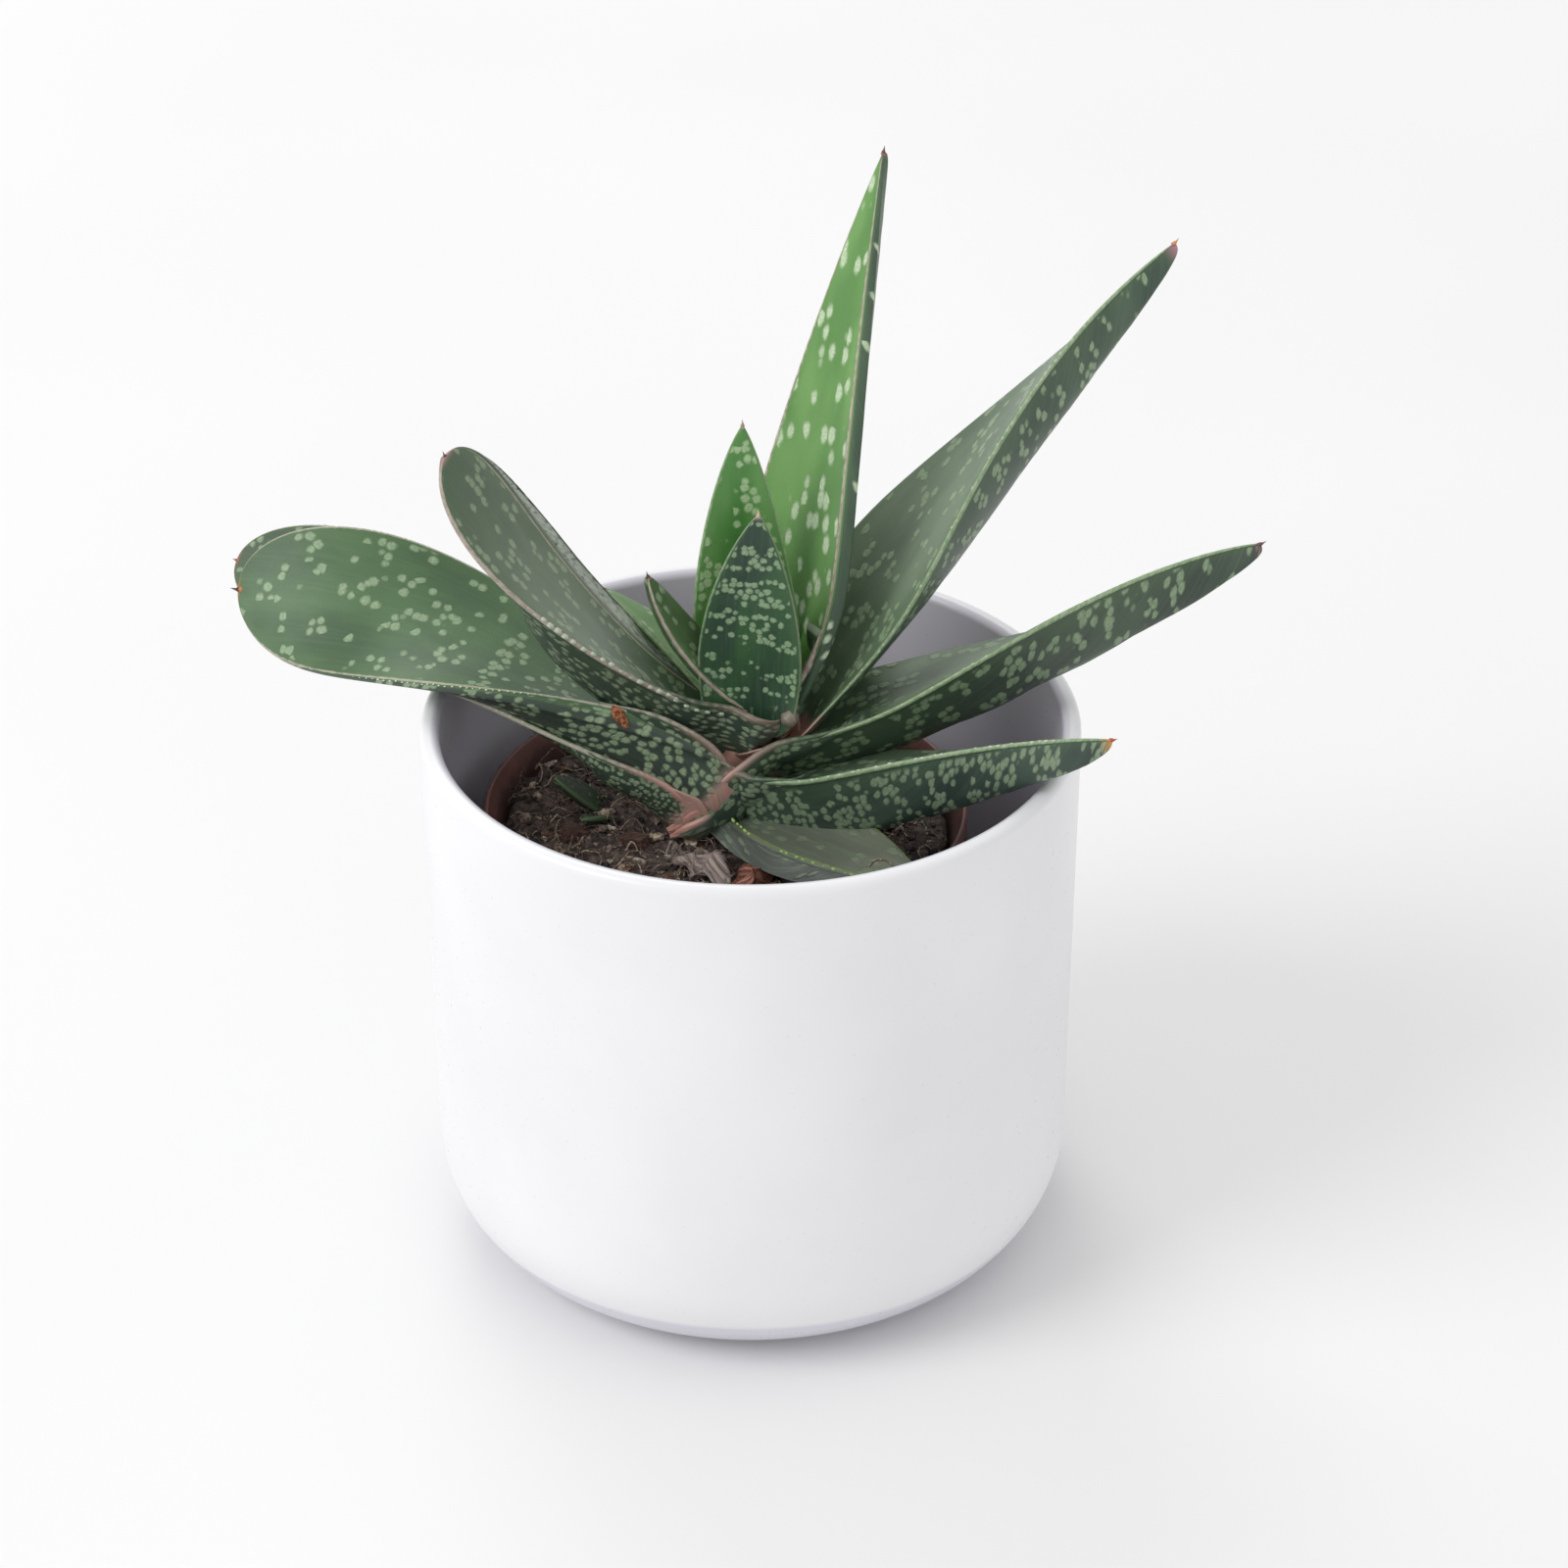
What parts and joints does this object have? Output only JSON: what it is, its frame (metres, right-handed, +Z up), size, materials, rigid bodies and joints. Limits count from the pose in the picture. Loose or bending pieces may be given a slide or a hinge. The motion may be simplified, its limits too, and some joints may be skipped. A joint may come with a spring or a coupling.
{
  "type": "potted gasteria",
  "caption": "Succulent with thick, pale-spotted tongue-shaped leaves in two ranks, growing in a thin nursery pot that stands inside a plain round cachepot.",
  "frame": {"origin": "centre of the cachepot's flat base, on the surface that it stands on", "axes": "+Z up; -Y is the front, the side that shows the stem's foot; the leaves fan out to the left (-X) and the right (+X)"},
  "size_m": [0.2211, 0.14, 0.2366],
  "materials": {
    "cachepot_ceramic": "white satin glazed ceramic",
    "nursery_plastic": "thin reddish-brown moulded plastic",
    "compost": "dark peaty compost with fibres",
    "stem_skin": "pinkish fibrous stem",
    "leaf_skin": "green waxy skin with pale spots and a cream toothed edge",
    "pup_skin": "dark green waxy skin",
    "dry_leaf": "dry papery leaf tissue",
    "bark": "rough reddish bark"
  },
  "bodies": {
    "root": {"cachepot": "cachepot_ceramic", "nursery_pot": "nursery_plastic", "soil": "compost", "stem": "stem_skin", "leaf_left_1": "leaf_skin", "leaf_left_2": "leaf_skin", "leaf_left_3": "leaf_skin", "leaf_left_4": "leaf_skin", "leaf_left_5": "leaf_skin", "leaf_right_1": "leaf_skin", "leaf_right_2": "leaf_skin", "leaf_right_3": "leaf_skin", "leaf_right_4": "leaf_skin", "leaf_right_5": "leaf_skin", "leaf_heart_1": "leaf_skin", "leaf_heart_2": "leaf_skin", "pup_leaf_1": "pup_skin", "pup_leaf_2": "pup_skin", "pup_leaf_3": "pup_skin", "dry_leaf_scrap": "dry_leaf", "old_leaf_stub": "dry_leaf", "bark_chip_1": "bark", "bark_chip_2": "bark"}
  },
  "joints": []
}
